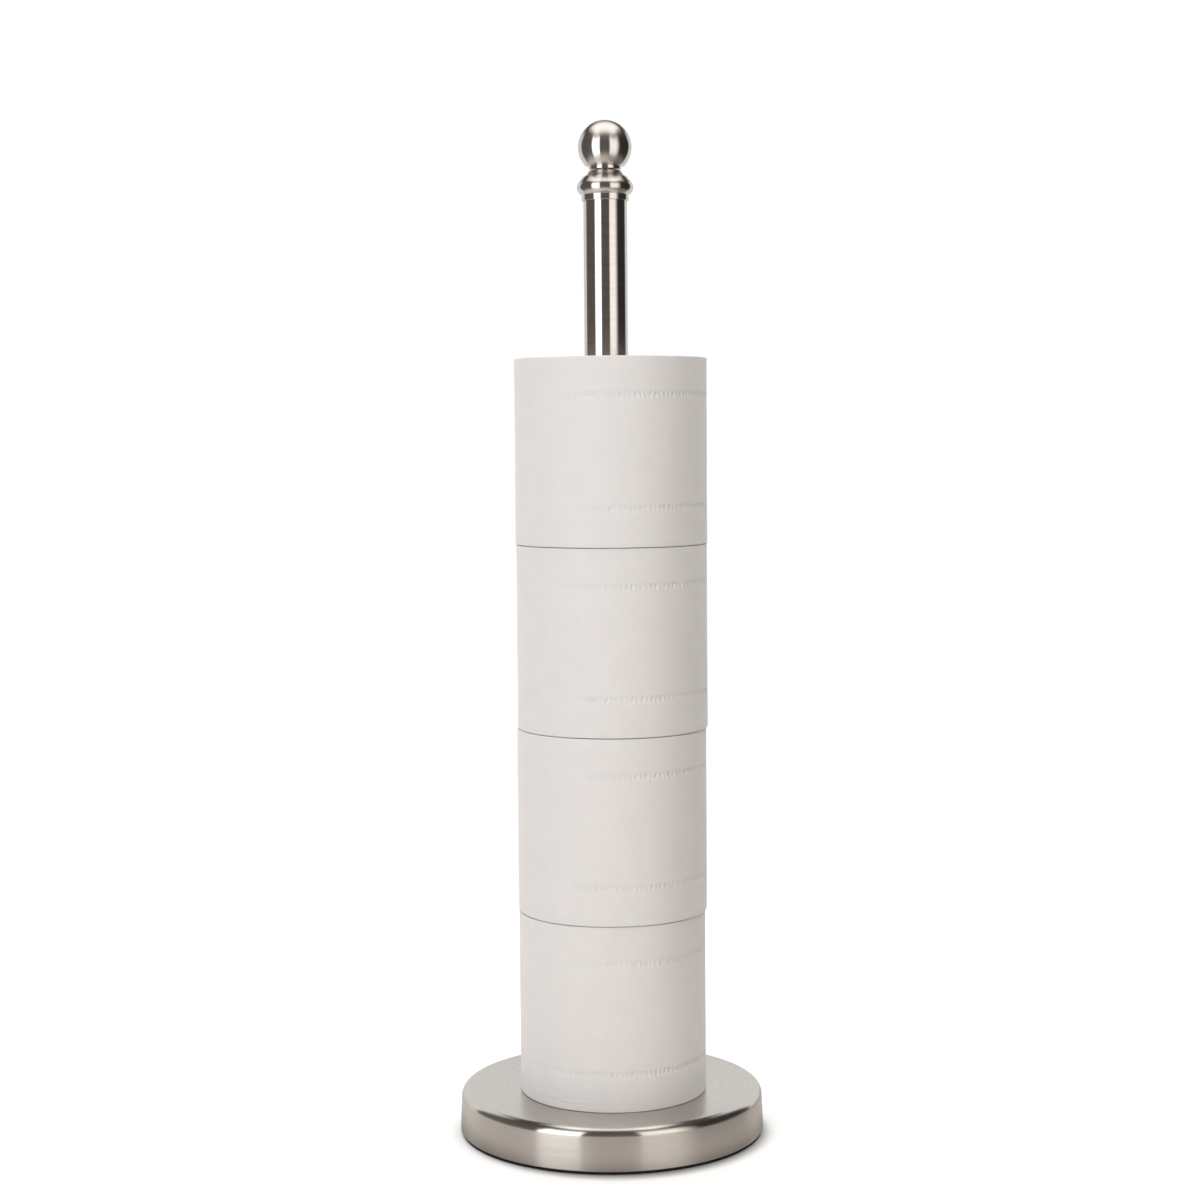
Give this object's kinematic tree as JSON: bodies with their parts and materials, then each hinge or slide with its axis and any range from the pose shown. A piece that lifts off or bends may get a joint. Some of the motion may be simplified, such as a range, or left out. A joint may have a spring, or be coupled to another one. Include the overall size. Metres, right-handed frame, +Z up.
{
  "type": "toilet roll stand",
  "caption": "Free-standing post on a weighted round base, with a bell collar and ball finial, holding a stack of toilet rolls that turn and lift off.",
  "frame": {"origin": "on the floor, under the middle of the round base and on the pole's axis", "axes": "+Z up along the pole; -Y is the front, the side the rolls hang towards; the stand itself is round"},
  "size_m": [0.17, 0.17, 0.5606],
  "materials": {
    "brushed_nickel": "satin",
    "cast_iron": "matte",
    "zinc_plated_steel": "satin",
    "black_rubber": "matte",
    "tissue_paper": "matte",
    "core_board": "matte"
  },
  "bodies": {
    "stand": {"base_cover": "brushed_nickel", "lower_tube": "brushed_nickel", "upper_tube": "brushed_nickel", "finial_collar": "brushed_nickel", "finial_ball": "brushed_nickel", "base_weight": "cast_iron", "base_plate": "zinc_plated_steel", "plate_screws": "zinc_plated_steel", "pole_bolt": "zinc_plated_steel", "flat_washer": "zinc_plated_steel", "spring_washer": "zinc_plated_steel", "pole_nut": "zinc_plated_steel", "tube_foot_plug": "zinc_plated_steel", "lower_join_plug": "zinc_plated_steel", "upper_join_plug": "zinc_plated_steel", "join_stud": "zinc_plated_steel", "tube_top_plug": "zinc_plated_steel", "finial_stud": "zinc_plated_steel", "anti_slip_pad": "black_rubber"},
    "core_1": {"cardboard_core_1": "core_board"},
    "paper_1": {"paper_roll_1": "tissue_paper"},
    "core_2": {"cardboard_core_2": "core_board"},
    "paper_2": {"paper_roll_2": "tissue_paper"},
    "core_3": {"cardboard_core_3": "core_board"},
    "paper_3": {"paper_roll_3": "tissue_paper"},
    "core_4": {"cardboard_core_4": "core_board"},
    "paper_4": {"paper_roll_4": "tissue_paper"}
  },
  "joints": [
    {"name": "roll_1_lift", "type": "slide", "parent": "stand", "child": "core_1", "axis": [0, 0, 1], "range_m": [0, 0.541]},
    {"name": "roll_1_turn", "type": "hinge", "parent": "core_1", "child": "paper_1", "pos_m": [0.0011, -0.005, 0.0754], "axis": [0, 0, 1], "continuous": true},
    {"name": "roll_2_lift", "type": "slide", "parent": "core_1", "child": "core_2", "axis": [0, 0, 1], "range_m": [0, 0.439]},
    {"name": "roll_2_turn", "type": "hinge", "parent": "core_2", "child": "paper_2", "pos_m": [0.0015, -0.0049, 0.177], "axis": [0, 0, 1], "continuous": true},
    {"name": "roll_3_lift", "type": "slide", "parent": "core_2", "child": "core_3", "axis": [0, 0, 1], "range_m": [0, 0.338]},
    {"name": "roll_3_turn", "type": "hinge", "parent": "core_3", "child": "paper_3", "pos_m": [0.0022, -0.0046, 0.2786], "axis": [0, 0, 1], "continuous": true},
    {"name": "roll_4_lift", "type": "slide", "parent": "core_3", "child": "core_4", "axis": [0, 0, 1], "range_m": [0, 0.236]},
    {"name": "roll_4_turn", "type": "hinge", "parent": "core_4", "child": "paper_4", "pos_m": [0.0022, -0.0047, 0.3802], "axis": [0, 0, 1], "continuous": true}
  ]
}
